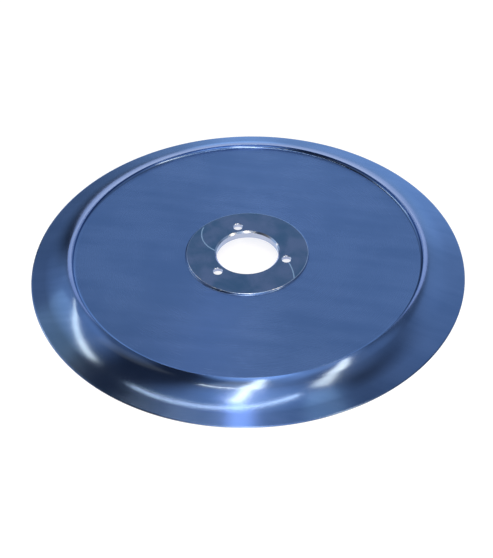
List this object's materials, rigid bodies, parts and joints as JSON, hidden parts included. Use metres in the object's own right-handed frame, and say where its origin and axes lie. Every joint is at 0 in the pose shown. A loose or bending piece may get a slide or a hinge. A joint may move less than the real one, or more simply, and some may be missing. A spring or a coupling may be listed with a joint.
{
  "type": "food slicer blade",
  "caption": "Round steel slicing blade with a sharp flared rim, a raised crest round a flat web, and a raised hub seat with a central bore and countersunk fixing holes.",
  "frame": {"origin": "centre of the cutting edge's circle, in the plane of the edge", "axes": "+Z along the bore, from the front with its recess to the back with its hub seat"},
  "size_m": [0.28, 0.28, 0.0135],
  "materials": {
    "blade_steel": "satin stainless steel with fine circular turning marks, bluish grey"
  },
  "bodies": {
    "root": {"slicer_blade": "blade_steel"}
  },
  "joints": []
}
